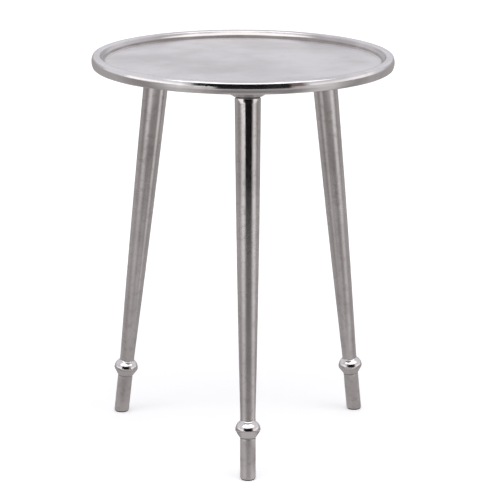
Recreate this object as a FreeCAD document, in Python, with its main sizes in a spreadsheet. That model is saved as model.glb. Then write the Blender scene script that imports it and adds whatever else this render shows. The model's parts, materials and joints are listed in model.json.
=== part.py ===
import FreeCAD, Part
import math
import os
import Sketcher

# A round cast-aluminium tray table on three splayed, turned legs.
#
# The tray, its rim and the three leg bosses are one casting. Each leg is a solid casting, turned
# from its tapered shaft down through one bead to a plain foot. A steel stud is fixed in the top
# of each leg and screws into a boss, with a thin washer between the two. A thin glide is stuck
# under each foot, which is cut level with the floor.
#
# Frame: +Z up, origin on the floor under the middle of the tray, front leg towards -Y.
# Lengths are in millimetres and angles in degrees.

DIMENSIONS = {
    "table_height": (524.0, "floor to the crest of the rim"),
    "tray_radius": (200.0, "widest part of the rim"),
    "rim_height": (16.0, "crest of the rim to its lower edge"),
    "rim_face_radius": (16.5, "arc of the rim's outer face"),
    "rim_widest_depth": (8.0, "crest to the widest part of the rim's face"),
    "rim_crest_round": (4.0, "round between the rim's face and its top"),
    "rim_edge_round": (2.0, "round along the rim's lower and inner edges"),
    "rim_top_inner_radius": (188.8, "inner edge of the rim's top"),
    "rim_foot_radius": (188.5, "inner edge of the rim's lower lip"),
    "recess_radius": (184.8, "tray floor where it meets the rim"),
    "recess_depth": (8.5, "crest to tray floor"),
    "recess_corner_round": (8.0, "cove between the tray floor and the rim"),
    "plate_thickness": (5.0, "tray floor to tray underside"),
    "leg_tilt": (6.94, "lean of each leg away from upright"),
    "foot_circle_radius": (189.5, "middle of the table to a leg's axis at the floor"),
    "leg_length": (495.0, "floor to the leg's shoulder, along its axis"),
    "leg_top_radius": (16.8, "shaft at the shoulder"),
    "shoulder_chamfer": (0.6, "chamfer round the shoulder"),
    "shaft_bow_radius": (24000.0, "long arc of the shaft's swelling taper"),
    "neck_radius": (10.0, "shaft just above the bead"),
    "neck_top": (84.0, "floor to where the shaft starts to swell"),
    "neck_round": (2.0, "cove between the bead and the neck"),
    "bead_radius": (16.4, "bead at its widest"),
    "bead_widest": (65.25, "floor to the bead's widest part"),
    "bead_upper_round": (13.0, "arc of the bead's domed upper side"),
    "bead_lower_round": (3.5, "arc below the bead's widest part"),
    "bead_cone_angle": (32.0, "half angle of the bead's lower cone"),
    "bead_bottom": (54.8, "floor to the bottom of the bead"),
    "bead_lip": (0.3, "how far the bead's bottom stands out from the foot"),
    "collar_groove": (0.6, "depth and half width of the groove under the bead"),
    "foot_radius": (10.2, "plain foot below the bead"),
    "foot_round": (1.0, "round along the foot's lower edge"),
    "boss_base_radius": (52.0, "boss where it meets the tray's underside"),
    "boss_face_radius": (17.0, "boss where the leg meets it"),
    "boss_sunk": (1.5, "how far the boss runs up into the plate"),
    "boss_cove": (5.0, "cove between the boss and the tray's underside"),
    "stud_radius": (4.95, "outside of the stud's thread"),
    "stud_length": (38.0, "whole stud"),
    "stud_in_leg": (20.0, "length of stud fixed in the leg"),
    "stud_chamfer": (0.8, "chamfer at each end of the stud"),
    "thread_bore_radius": (5.0, "hole that takes the stud"),
    "bore_spare": (0.5, "gap between the stud's end and the bottom of the boss's hole"),
    "bore_mouth": (1.0, "countersink at the mouth of each hole"),
    "washer_radius": (15.6, "outside of the washer"),
    "washer_hole_radius": (6.4, "hole of the washer"),
    "washer_thickness": (1.0, "washer between boss and leg"),
    "glide_radius": (9.2, "glide under the foot"),
    "glide_thickness": (1.5, "floor to the cut end of the foot"),
    "glide_chamfer": (0.4, "chamfer round the glide's lower edge"),
}

LEG_AZIMUTHS = {"front": 270.0, "right": 30.0, "left": 150.0}
TINY = 1e-9
MATCH = 0.01
POINTS_TRIED = 5

doc = FreeCAD.newDocument("tray_table")


# --- spreadsheet ------------------------------------------------------------------------------

def make_sheet():
    sheet = doc.addObject("Spreadsheet::Sheet", "dims")
    for row, (alias, (value, meaning)) in enumerate(DIMENSIONS.items(), start=1):
        sheet.set(f"A{row}", meaning)
        sheet.set(f"B{row}", str(value))
        sheet.setAlias(f"B{row}", alias)
    doc.recompute()
    return sheet


SHEET = make_sheet()


def size(alias):
    return float(getattr(SHEET, alias))


def worked_out(text):
    """Number that an expression over the sheet stands for now."""
    value = SHEET.evalExpression(text.replace("dims.", ""))
    return float(getattr(value, "Value", value))


# --- sketch and body helpers ------------------------------------------------------------------

def new_body(label):
    body = doc.addObject("PartDesign::Body", label)
    body.Label = label
    return body


def origin_plane(body, role):
    return next(item for item in body.Origin.OriginFeatures if item.Role == role)


def new_sketch(body, name, role="XZ_Plane"):
    sketch = body.newObject("Sketcher::SketchObject", name)
    sketch.AttachmentSupport = (origin_plane(body, role), [""])
    sketch.MapMode = "FlatFace"
    return sketch


def pin_to_sheet(sketch, edge, end, across, up):
    """Fix one end of a sketch edge at two distances from the origin, given as expressions."""
    for kind, text, axis in (("DistanceX", across, -2), ("DistanceY", up, -1)):
        value = worked_out(text)
        if abs(value) < TINY:
            sketch.addConstraint(Sketcher.Constraint("PointOnObject", edge, end, axis))
            continue
        points = (-1, 1, edge, end) if value > 0 else (edge, end, -1, 1)
        index = sketch.addConstraint(Sketcher.Constraint(kind, *points, abs(value)))
        sketch.setExpression(f"Constraints[{index}]", text if value > 0 else f"-({text})")


def arc_between(start, end, radius, centre_on_left):
    """Arc from start to end, and which of its ends (1 or 2) is start and which is end."""
    chord = end - start
    middle = (start + end) * 0.5
    left = FreeCAD.Vector(-chord.y, chord.x, 0).normalize()
    offset = math.sqrt(radius ** 2 - (chord.Length / 2) ** 2)
    centre = middle + left * (offset if centre_on_left else -offset)
    first, last = (start, end) if centre_on_left else (end, start)
    angles = [math.atan2(p.y - centre.y, p.x - centre.x) for p in (first, last)]
    circle = Part.Circle(centre, FreeCAD.Vector(0, 0, 1), radius)
    ends = (1, 2) if centre_on_left else (2, 1)
    return Part.ArcOfCircle(circle, *angles), ends


def draw_outline(sketch, corners, arcs=None):
    """Closed outline through corners, given as pairs of expressions over the sheet.

    arcs maps the number of the edge that leaves a corner to (radius expression, True where the
    arc's centre lies on the left of the way round).
    """
    arcs = arcs or {}
    points = [FreeCAD.Vector(worked_out(a), worked_out(b), 0) for a, b in corners]
    edges = []
    for number, start in enumerate(points):
        end = points[(number + 1) % len(points)]
        if number in arcs:
            radius, centre_on_left = arcs[number]
            curve, ends = arc_between(start, end, worked_out(radius), centre_on_left)
        else:
            curve, ends = Part.LineSegment(start, end), (1, 2)
        edges.append((sketch.addGeometry(curve, False), *ends))
    for number, (edge, first, last) in enumerate(edges):
        following, following_first, _ = edges[(number + 1) % len(edges)]
        sketch.addConstraint(
            Sketcher.Constraint("Coincident", edge, last, following, following_first)
        )
    for number, (edge, first, _) in enumerate(edges):
        pin_to_sheet(sketch, edge, first, *corners[number])
        if number in arcs:
            radius = arcs[number][0]
            index = sketch.addConstraint(
                Sketcher.Constraint("Radius", edge, worked_out(radius))
            )
            sketch.setExpression(f"Constraints[{index}]", radius)


def revolve(body, name, corners, arcs=None, kind="PartDesign::Revolution"):
    """Turn an outline of (radius, height) corners about the body's Z axis."""
    sketch = new_sketch(body, f"{name}_outline")
    draw_outline(sketch, corners, arcs)
    feature = body.newObject(kind, name)
    feature.Profile = sketch
    feature.ReferenceAxis = (sketch, ["V_Axis"])
    feature.Angle = 360.0
    body.Tip = feature
    doc.recompute()
    return feature


def circles_at(shape, radius, height):
    """Names of the circular edges of one radius at one height."""
    names = []
    for number, edge in enumerate(shape.Edges, start=1):
        curve = edge.Curve
        if curve.TypeId != "Part::GeomCircle" or abs(curve.Radius - radius) > MATCH:
            continue
        if abs(curve.Center.z - height) < MATCH:
            names.append(f"Edge{number}")
    return names


def fillet(body, name, base, edges, radius):
    """Round the named edges of base to a radius from the sheet."""
    if not edges:
        raise RuntimeError(f"{name}: no edge to round")
    feature = body.newObject("PartDesign::Fillet", name)
    feature.Base = (base, edges)
    feature.setExpression("Radius", f"dims.{radius}")
    body.Tip = feature
    doc.recompute()
    return feature


def leg_frame(azimuth, along=0.0):
    """Placement on a leg's axis, a distance up from the floor: +Z up the leg, +X outwards."""
    turn = FreeCAD.Rotation(FreeCAD.Vector(0, 0, 1), azimuth)
    lean = FreeCAD.Rotation(FreeCAD.Vector(0, 1, 0), -size("leg_tilt"))
    rotation = turn.multiply(lean)
    foot = turn.multVec(FreeCAD.Vector(size("foot_circle_radius"), 0, 0))
    up_the_leg = rotation.multVec(FreeCAD.Vector(0, 0, along))
    return FreeCAD.Placement(foot + up_the_leg, rotation)


# --- tray -------------------------------------------------------------------------------------

def tray_blank(body):
    """Plate and rim before the recess is turned out, with the rim's bowed outer face."""
    widest = "dims.tray_radius - dims.rim_face_radius"
    top_edge = f"{widest} + sqrt(dims.rim_face_radius ^ 2 - dims.rim_widest_depth ^ 2)"
    rest_of_face = "(dims.rim_height - dims.rim_widest_depth)"
    low_edge = f"{widest} + sqrt(dims.rim_face_radius ^ 2 - {rest_of_face} ^ 2)"
    underside = "dims.table_height - dims.recess_depth - dims.plate_thickness"
    low = "dims.table_height - dims.rim_height"
    corners = [
        ("0", underside),
        ("dims.recess_radius", underside),
        ("dims.rim_foot_radius", low),
        (low_edge, low),
        (top_edge, "dims.table_height"),
        ("0", "dims.table_height"),
    ]
    return revolve(body, "plate_and_rim", corners, {3: ("dims.rim_face_radius", True)})


def placed_circle(body, name, radius, placement):
    """Sketch of one circle on a plane set off from the body's XY plane."""
    sketch = new_sketch(body, name, "XY_Plane")
    sketch.AttachmentOffset = placement
    circle = Part.Circle(FreeCAD.Vector(), FreeCAD.Vector(0, 0, 1), size(radius))
    edge = sketch.addGeometry(circle, False)
    sketch.addConstraint(Sketcher.Constraint("Coincident", edge, 3, -1, 1))
    index = sketch.addConstraint(Sketcher.Constraint("Radius", edge, size(radius)))
    sketch.setExpression(f"Constraints[{index}]", f"dims.{radius}")
    return sketch


def boss_face_frame(azimuth):
    return leg_frame(azimuth, size("leg_length") + size("washer_thickness"))


def add_boss(body, azimuth):
    """Flared boss, from its leaning face up into the level plate."""
    face_frame = boss_face_frame(azimuth)
    underside = size("table_height") - size("recess_depth") - size("plate_thickness")
    rise = underside + size("boss_sunk") - face_frame.Base.z
    up_the_leg = face_frame.Rotation.multVec(FreeCAD.Vector(0, 0, 1))
    base_centre = face_frame.Base + up_the_leg * (rise / up_the_leg.z)
    level = FreeCAD.Rotation(FreeCAD.Vector(0, 0, 1), azimuth)
    base_frame = FreeCAD.Placement(base_centre, level)
    face = placed_circle(body, "boss_face", "boss_face_radius", face_frame)
    base = placed_circle(body, "boss_base", "boss_base_radius", base_frame)
    boss = body.newObject("PartDesign::AdditiveLoft", "boss")
    boss.Profile = face
    boss.Sections = [base]
    boss.Ruled = True
    body.Tip = boss
    doc.recompute()
    return boss


def add_boss_bore(body, azimuth):
    """Hole for the stud, square to the boss's face, and its countersink."""
    bore = body.newObject("PartDesign::SubtractiveCylinder", "stud_bore")
    bore.AttachmentSupport = (origin_plane(body, "XY_Plane"), [""])
    bore.MapMode = "FlatFace"
    bore.AttachmentOffset = boss_face_frame(azimuth)
    bore.setExpression("Radius", "dims.thread_bore_radius")
    stud_above_leg = "dims.stud_length - dims.stud_in_leg - dims.washer_thickness"
    bore.setExpression("Height", f"{stud_above_leg} + dims.bore_spare")
    mouth = body.newObject("PartDesign::SubtractiveCone", "stud_bore_mouth")
    mouth.AttachmentSupport = (origin_plane(body, "XY_Plane"), [""])
    mouth.MapMode = "FlatFace"
    mouth.AttachmentOffset = boss_face_frame(azimuth)
    mouth.setExpression("Radius1", "dims.thread_bore_radius + dims.bore_mouth")
    mouth.setExpression("Radius2", "dims.thread_bore_radius")
    mouth.setExpression("Height", "dims.bore_mouth")
    body.Tip = mouth
    doc.recompute()


def edges_round_bosses(shape):
    """Names of the edges where the bosses meet the tray's underside."""
    underside = size("table_height") - size("recess_depth") - size("plate_thickness")
    level = [
        (number, edge)
        for number, edge in enumerate(shape.Edges, start=1)
        if all(abs(point.z - underside) < MATCH for point in edge.discretize(POINTS_TRIED))
    ]
    return [
        f"Edge{number}"
        for number, edge in level
        if math.hypot(edge.CenterOfMass.x, edge.CenterOfMass.y) > size("boss_base_radius")
    ]


def turn_out_recess(body):
    floor = "dims.table_height - dims.recess_depth"
    above = "dims.table_height + dims.rim_edge_round"
    corners = [
        ("0", floor),
        ("dims.recess_radius", floor),
        ("dims.rim_top_inner_radius", "dims.table_height"),
        ("dims.rim_top_inner_radius", above),
        ("0", above),
    ]
    return revolve(body, "recess", corners, kind="PartDesign::Groove")


def make_tray():
    body = new_body("tray_top")
    last = tray_blank(body)
    for azimuth in LEG_AZIMUTHS.values():
        last = add_boss(body, azimuth)
    edges = edges_round_bosses(last.Shape)
    last = fillet(body, "boss_cove", last, edges, "boss_cove")
    uncut_volume = last.Shape.Volume
    recess = turn_out_recess(body)
    if recess.Shape.Volume >= uncut_volume:
        raise RuntimeError("the recess cut nothing")
    crest = size("table_height")
    face_centre = size("tray_radius") - size("rim_face_radius")
    crest_corner = face_centre + math.sqrt(
        size("rim_face_radius") ** 2 - size("rim_widest_depth") ** 2
    )
    edges = circles_at(recess.Shape, crest_corner, crest)
    rounded = fillet(body, "crest_round", recess, edges, "rim_crest_round")
    edges = circles_at(rounded.Shape, size("rim_top_inner_radius"), crest)
    rounded = fillet(body, "inner_edge_round", rounded, edges, "rim_edge_round")
    edges = circles_at(rounded.Shape, size("recess_radius"), crest - size("recess_depth"))
    rounded = fillet(body, "recess_corner", rounded, edges, "recess_corner_round")
    lower_lip = crest - size("rim_height")
    outer_lip = face_centre + math.sqrt(
        size("rim_face_radius") ** 2 - (size("rim_height") - size("rim_widest_depth")) ** 2
    )
    edges = circles_at(rounded.Shape, outer_lip, lower_lip)
    fillet(body, "lower_edge_round", rounded, edges, "rim_edge_round")
    for azimuth in LEG_AZIMUTHS.values():
        add_boss_bore(body, azimuth)
    return body


# --- legs -------------------------------------------------------------------------------------

def leg_outline():
    """Corners (radius, distance up the axis) of a leg, and the arcs between them."""
    cone = "dims.bead_cone_angle * 1 deg"
    dome_middle = "(dims.bead_radius - dims.bead_upper_round)"
    dome_rise = f"sqrt(dims.bead_upper_round ^ 2 - (dims.neck_radius - {dome_middle}) ^ 2)"
    bore_floor = "dims.leg_length - dims.stud_in_leg"
    corners = [
        ("0", "0"),
        ("dims.foot_radius", "0"),
        ("dims.foot_radius", "dims.bead_bottom - 2 * dims.collar_groove"),
        ("dims.foot_radius - dims.collar_groove", "dims.bead_bottom - dims.collar_groove"),
        ("dims.foot_radius + dims.bead_lip", "dims.bead_bottom"),
        (
            f"dims.bead_radius - dims.bead_lower_round * (1 - cos({cone}))",
            f"dims.bead_widest - dims.bead_lower_round * sin({cone})",
        ),
        ("dims.bead_radius", "dims.bead_widest"),
        ("dims.neck_radius", f"dims.bead_widest + {dome_rise}"),
        ("dims.neck_radius", "dims.neck_top"),
        ("dims.leg_top_radius", "dims.leg_length - dims.shoulder_chamfer"),
        ("dims.leg_top_radius - dims.shoulder_chamfer", "dims.leg_length"),
        ("dims.thread_bore_radius", "dims.leg_length"),
        ("dims.thread_bore_radius", bore_floor),
        ("0", bore_floor),
    ]
    arcs = {
        5: ("dims.bead_lower_round", True),
        6: ("dims.bead_upper_round", True),
        8: ("dims.shaft_bow_radius", True),
    }
    return corners, arcs


def cut_foot_level(body, base):
    """Cut the foot's end parallel to the floor, one glide's thickness above it."""
    level = "(dims.glide_thickness {sign} dims.bead_radius * sin(dims.leg_tilt * 1 deg))"
    upright = "cos(dims.leg_tilt * 1 deg)"
    outer = level.format(sign="-") + f" / {upright}"
    inner = level.format(sign="+") + f" / {upright}"
    sketch = new_sketch(body, "level_cut_outline")
    draw_outline(
        sketch,
        [
            ("-dims.bead_radius", "-dims.bead_radius"),
            ("dims.bead_radius", "-dims.bead_radius"),
            ("dims.bead_radius", outer),
            ("-dims.bead_radius", inner),
        ],
    )
    cut = body.newObject("PartDesign::Pocket", "level_cut")
    cut.Profile = sketch
    cut.Midplane = True
    cut.setExpression("Length", "4 * dims.bead_radius")
    body.Tip = cut
    doc.recompute()
    if cut.Shape.Volume >= base.Shape.Volume:
        raise RuntimeError("the level cut removed nothing")
    return cut


def foot_end_edges(shape):
    """Edges round the sloping cut at the foot."""
    faces = [f for f in shape.Faces if f.Surface.TypeId == "Part::GeomPlane"]
    lowest = min(faces, key=lambda f: f.CenterOfMass.z)
    return [
        f"Edge{number}"
        for number, edge in enumerate(shape.Edges, start=1)
        if any(edge.isSame(other) for other in lowest.Edges)
    ]


def make_leg(place, azimuth):
    body = new_body(f"leg_{place}")
    turned = revolve(body, "turned_leg", *leg_outline())
    neck_edge = size("bead_widest") + math.sqrt(
        size("bead_upper_round") ** 2
        - (size("neck_radius") - size("bead_radius") + size("bead_upper_round")) ** 2
    )
    edges = circles_at(turned.Shape, size("neck_radius"), neck_edge)
    coved = fillet(body, "neck_cove", turned, edges, "neck_round")
    cut = cut_foot_level(body, coved)
    fillet(body, "foot_edge", cut, foot_end_edges(cut.Shape), "foot_round")
    body.Placement = leg_frame(azimuth)
    return body


def make_stud(place, azimuth):
    body = new_body(f"stud_{place}")
    corners = [
        ("0", "0"),
        ("dims.stud_radius - dims.stud_chamfer", "0"),
        ("dims.stud_radius", "dims.stud_chamfer"),
        ("dims.stud_radius", "dims.stud_length - dims.stud_chamfer"),
        ("dims.stud_radius - dims.stud_chamfer", "dims.stud_length"),
        ("0", "dims.stud_length"),
    ]
    revolve(body, "threaded_rod", corners)
    body.Placement = leg_frame(azimuth, size("leg_length") - size("stud_in_leg"))
    return body


def make_washer(place, azimuth):
    body = new_body(f"washer_{place}")
    corners = [
        ("dims.washer_hole_radius", "0"),
        ("dims.washer_radius", "0"),
        ("dims.washer_radius", "dims.washer_thickness"),
        ("dims.washer_hole_radius", "dims.washer_thickness"),
    ]
    revolve(body, "flat_ring", corners)
    body.Placement = leg_frame(azimuth, size("leg_length"))
    return body


def make_glide(place, azimuth):
    body = new_body(f"glide_{place}")
    corners = [
        ("0", "0"),
        ("dims.glide_radius - dims.glide_chamfer", "0"),
        ("dims.glide_radius", "dims.glide_chamfer"),
        ("dims.glide_radius", "dims.glide_thickness"),
        ("0", "dims.glide_thickness"),
    ]
    revolve(body, "flat_disc", corners)
    lean = math.radians(size("leg_tilt"))
    out = size("foot_circle_radius") - size("glide_thickness") * math.tan(lean)
    turn = FreeCAD.Rotation(FreeCAD.Vector(0, 0, 1), azimuth)
    body.Placement = FreeCAD.Placement(turn.multVec(FreeCAD.Vector(out, 0, 0)), turn)
    return body


# --- whole table ------------------------------------------------------------------------------

def check_document(bodies):
    for item in doc.Objects:
        if any(flag in item.State for flag in ("Invalid", "Error")):
            raise RuntimeError(f"{item.Name} is {item.State}")
    for body in bodies:
        if body.Shape.isNull() or not body.Shape.isValid():
            raise RuntimeError(f"{body.Label} has no valid shape")
        if len(body.Shape.Solids) != 1:
            raise RuntimeError(f"{body.Label} is not one solid")


def main():
    bodies = [make_tray()]
    for place, azimuth in LEG_AZIMUTHS.items():
        for make in (make_leg, make_stud, make_washer, make_glide):
            bodies.append(make(place, azimuth))
    doc.recompute()
    check_document(bodies)
    os.makedirs("parts", exist_ok=True)
    for body in bodies:
        body.Shape.exportStep(f"parts/{body.Label}.step")
        box = body.Shape.BoundBox
        print(f"{body.Label}: {body.Shape.Volume:.0f} mm3, z {box.ZMin:.2f} to {box.ZMax:.2f}")


main()
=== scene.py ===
import json
import math

import bmesh
import bpy
from mathutils import Matrix, Vector, geometry, noise


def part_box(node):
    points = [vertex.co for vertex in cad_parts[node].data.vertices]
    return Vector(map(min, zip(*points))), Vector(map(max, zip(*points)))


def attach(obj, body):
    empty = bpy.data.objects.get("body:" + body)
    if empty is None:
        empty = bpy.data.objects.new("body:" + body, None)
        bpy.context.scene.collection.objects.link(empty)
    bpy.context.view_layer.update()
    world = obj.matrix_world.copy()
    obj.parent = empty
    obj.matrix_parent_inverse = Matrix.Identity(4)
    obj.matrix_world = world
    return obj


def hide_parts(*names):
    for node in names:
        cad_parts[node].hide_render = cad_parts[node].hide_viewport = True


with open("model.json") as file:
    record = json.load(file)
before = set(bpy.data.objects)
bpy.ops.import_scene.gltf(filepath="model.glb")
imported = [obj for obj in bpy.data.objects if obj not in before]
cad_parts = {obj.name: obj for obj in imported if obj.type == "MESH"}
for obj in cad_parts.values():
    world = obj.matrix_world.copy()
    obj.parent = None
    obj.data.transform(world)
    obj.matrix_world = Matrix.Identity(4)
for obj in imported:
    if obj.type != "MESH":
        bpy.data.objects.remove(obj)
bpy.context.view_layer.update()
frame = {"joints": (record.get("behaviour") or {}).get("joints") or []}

# A cast tray table on three turned legs. Lengths are in metres. Angles are in degrees in the
# constants, in arc() and round the studio, and in radians elsewhere. "Up the leg" is measured
# along a leg's own axis from the floor.

MM = 0.001
PLACES = ("front", "right", "left")

# sizes that the CAD boxes and joints don't give
RIM_HEIGHT = 16 * MM
RIM_FACE_RADIUS = 16.5 * MM
RIM_WIDEST_DEPTH = 8 * MM
RIM_EDGE_ROUND = 2 * MM
RIM_TOP_INNER_RADIUS = 188.8 * MM
RIM_FOOT_RADIUS = 188.5 * MM
RIM_CREST_EASE = 2.3 * MM
RIM_LOWER_EASE = 1.2 * MM
RIM_FOOT_EASE = 0.6 * MM
RECESS_RADIUS = 184.8 * MM
RECESS_DEPTH = 8.5 * MM
RECESS_COVE = 8 * MM
FLOOR_FIRST_RING = 12 * MM
PLATE_THICKNESS = 5 * MM
FLAT_UNDERSIDE_RADIUS = 183 * MM
UNDERSIDE_EASE = 1.2 * MM
BOSS_BASE_RADIUS = 52 * MM
BOSS_FACE_RADIUS = 17 * MM
BOSS_SUNK = 1.5 * MM
BOSS_COVE = 5 * MM
BOSS_EDGE_EASE = 0.7 * MM
BORE_RADIUS = 5 * MM
BORE_MOUTH = 1 * MM
BORE_DEPTH = 17.5 * MM
BORE_THREAD_DEPTH = 0.35 * MM
LEG_LENGTH = 495 * MM
WASHER_THICKNESS = 1 * MM
LEG_TOP_RADIUS = 16.8 * MM
SHOULDER_CHAMFER = 0.6 * MM
SHOULDER_EASE = 0.25 * MM
SHOULDER_TOP_EASE = 0.2 * MM
SHOULDER_RING = 12 * MM
NECK_RADIUS = 10 * MM
NECK_TOP = 84 * MM
NECK_COVE = 2 * MM
SHAFT_BOW_RADIUS = 24.0
BEAD_RADIUS = 16.4 * MM
BEAD_WIDEST = 65.25 * MM
BEAD_UPPER_ROUND = 13 * MM
BEAD_LOWER_ROUND = 3.5 * MM
BEAD_CONE_ANGLE = 32
BEAD_BOTTOM = 54.8 * MM
BEAD_LIP = 0.3 * MM
COLLAR_GROOVE = 0.6 * MM
COLLAR_EASE = 0.2 * MM
FOOT_RADIUS = 10.2 * MM
FOOT_ROUND = 1 * MM
FOOT_TOP_EASE = 0.25 * MM
FOOT_JOIN = 12 * MM
STUD_RADIUS = 4.95 * MM
STUD_LENGTH = 38 * MM
STUD_IN_LEG = 20 * MM
STUD_CHAMFER = 0.8 * MM
STUD_END_BORDER = 1 * MM
THREAD_PITCH = 1.5 * MM
THREAD_DEPTH = 0.85 * MM
THREAD_STEEPNESS = 2.4
THREAD_ROOT_FLAT = 0.1
WASHER_RADIUS = 15.6 * MM
WASHER_HOLE_RADIUS = 6.4 * MM
WASHER_CHAMFER = 0.25 * MM
GLIDE_RADIUS = 9.2 * MM
GLIDE_CHAMFER = 0.4 * MM
GLIDE_EDGE_IN = 0.12 * MM
GLIDE_TOP_CHAMFER = 0.15 * MM

# how deep the cast and hand-polished skin is pressed in, and how far apart its hollows are
TRAY_SKIN = (0.18 * MM, 34 * MM)
RIM_SKIN = (0.22 * MM, 52 * MM)
LEG_SKIN = (0.16 * MM, 26 * MM)
SKIN_FALLOFF = 0.7
SKIN_LACUNARITY = 2.0
SKIN_OCTAVES = 2

# where that skin starts and has its full depth: away from a boss's face and bore, out from the
# middle and down from the crest of the tray, and out from the axis, up from the floor and down
# from the top of a leg
SKIN_OFF_BOSS = (0.3 * MM, 3 * MM)
RIM_SKIN_REACH = (180 * MM, 190 * MM)
RIM_SKIN_DROP = (0, 2 * MM)
LEG_SKIN_REACH = (8.5 * MM, 9.3 * MM)
LEG_SKIN_RISE = (5 * MM, 12 * MM)
LEG_SKIN_FULL_DROP = 6 * MM
LEG_SKIN_START_DROP = 0.8 * MM

# each leg takes its skin from its own place in the noise, so that no two are alike
LEG_NOISE_STEP = 3.7
LEG_NOISE_SIDE = 1.3

OWN_PLACE = "own_place"
TURNED_MAP = "turned_map"
RIM_SEGMENTS = 288
LEG_SEGMENTS = 96
SMALL_SEGMENTS = 72
STUD_SEGMENTS = 48
BORE_ROWS_A_TURN = 6
STUD_ROWS_A_TURN = 8
UNDERSIDE_SPACING = 9 * MM
SHARP_ANGLE = 38
EASE_HANDLE = 0.6


# --- outlines ---------------------------------------------------------------------------------

def arc(centre, radius, start, end, steps):
    """Points along an arc from start to end, in degrees."""
    angles = [math.radians(start + (end - start) * i / steps) for i in range(steps + 1)]
    return [
        (centre[0] + radius * math.cos(a), centre[1] + radius * math.sin(a)) for a in angles
    ]


def walk(path, reach):
    """The point that far along a path from its first point, the way on from there, and the
    number of the next point."""
    for number in range(1, len(path)):
        step = path[number] - path[number - 1]
        if reach <= step.length:
            way = step.normalized()
            return path[number - 1] + way * reach, way, number
        reach -= step.length
    raise ValueError("the corner's round is longer than its outline")


def ease_corner(points, corner, reach, steps=6):
    """The outline with the corner nearest to a point eased over a distance each way."""
    path = [Vector(p) for p in points]
    at = min(range(len(path)), key=lambda i: (path[i] - Vector(corner)).length)
    before, way_back, first = walk(path[at::-1], reach)
    after, way_on, last = walk(path[at:], reach)
    handle = reach * EASE_HANDLE
    curve = []
    for i in range(steps + 1):
        t = i / steps
        curve.append(
            before * (1 - t) ** 3
            + (before - way_back * handle) * 3 * t * (1 - t) ** 2
            + (after - way_on * handle) * 3 * t ** 2 * (1 - t)
            + after * t ** 3
        )
    return [tuple(p) for p in path[:at - first + 1] + curve + path[at + last:]]


def round_corner(points, corner, radius, steps=8):
    """ease_corner with the reach that a circular round of that radius has."""
    path = [Vector(p) for p in points]
    at = min(range(len(path)), key=lambda i: (path[i] - Vector(corner)).length)
    turn = (path[at] - path[at - 1]).angle(path[at + 1] - path[at])
    return ease_corner(points, corner, radius * math.tan(turn / 2), steps)


def spread(start, end, steps):
    """Evenly spaced points from start to end, both included."""
    a, b = Vector(start), Vector(end)
    return [tuple(a.lerp(b, i / steps)) for i in range(steps + 1)]


# --- meshes -----------------------------------------------------------------------------------

def turned_rows(mesh, rings, segments, place=None):
    """Adds turned rings to a bmesh and joins them. A ring is (radius, height), or a function of
    the angle that gives them. A radius of 0 is one point. place turns (x, y, z) into a vector."""
    place = place or Vector
    rows = []
    for ring in rings:
        if not callable(ring) and ring[0] == 0:
            rows.append([mesh.verts.new(place((0, 0, ring[1])))])
            continue
        row = []
        for i in range(segments):
            angle = 2 * math.pi * i / segments
            radius, height = ring(angle) if callable(ring) else ring
            row.append(
                mesh.verts.new(
                    place((radius * math.cos(angle), radius * math.sin(angle), height))
                )
            )
        rows.append(row)
    for low, high in zip(rows, rows[1:]):
        join_rows(mesh, low, high)
    return rows


def join_rows(mesh, low, high):
    """Faces between two rings, either of which may be a single point."""
    count = max(len(low), len(high))
    for i in range(count):
        j = (i + 1) % count
        corners = [low[i % len(low)], low[j % len(low)], high[j % len(high)], high[i % len(high)]]
        mesh.faces.new(list(dict.fromkeys(corners)))


def finished_mesh(name, mesh):
    """A smooth-shaded mesh from a closed bmesh, with its true edges kept sharp."""
    bmesh.ops.recalc_face_normals(mesh, faces=mesh.faces)
    data = bpy.data.meshes.new(name)
    mesh.to_mesh(data)
    mesh.free()
    data.shade_smooth()
    data.set_sharp_from_angle(angle=math.radians(SHARP_ANGLE))
    return data


def cast_skin(data, depth, grain, mask=None):
    """Presses a surface in by an uneven depth, as casting and hand polishing leave it."""
    normals = [v.normal.copy() for v in data.vertices]
    for vertex, normal in zip(data.vertices, normals):
        share = mask(vertex.co) if mask else 1.0
        if share <= 0:
            continue
        wave = noise.fractal(vertex.co / grain, SKIN_FALLOFF, SKIN_LACUNARITY, SKIN_OCTAVES)
        uneven = min(1.0, max(0.0, 0.5 + 0.5 * wave))
        vertex.co -= normal * (depth * share * uneven)


def smooth_share(value, start, end):
    """0 up to start, 1 from end on, and a smooth change between them."""
    t = min(1.0, max(0.0, (value - start) / (end - start)))
    return t * t * (3 - 2 * t)


def keep_own_coordinates(data):
    """Stores where each point is in its piece's own frame, and a map of the angle round that
    frame's Z and the height along it, so that materials can follow the turning."""
    own = data.attributes.new(OWN_PLACE, "FLOAT_VECTOR", "POINT")
    own.data.foreach_set("vector", [c for vertex in data.vertices for c in vertex.co])
    turned = data.uv_layers.new(name=TURNED_MAP)
    for face in data.polygons:
        middle = math.atan2(face.center.y, face.center.x)
        for corner in face.loop_indices:
            co = data.vertices[data.loops[corner].vertex_index].co
            past_middle = (math.atan2(co.y, co.x) - middle + math.pi) % (2 * math.pi) - math.pi
            turned.data[corner].uv = ((middle + past_middle) / (2 * math.pi), co.z)


def put(name, data, place, body, node, material):
    """Makes a mesh, drawn in its own frame, the visible piece for one CAD node."""
    keep_own_coordinates(data)
    data.transform(place)
    piece = bpy.data.objects.new(name, data)
    bpy.context.scene.collection.objects.link(piece)
    data.materials.append(material)
    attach(piece, body)
    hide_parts(node)
    return piece


# --- where the legs are -----------------------------------------------------------------------

def joint_named(name):
    return next(joint for joint in frame["joints"] if joint["name"] == name)


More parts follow.
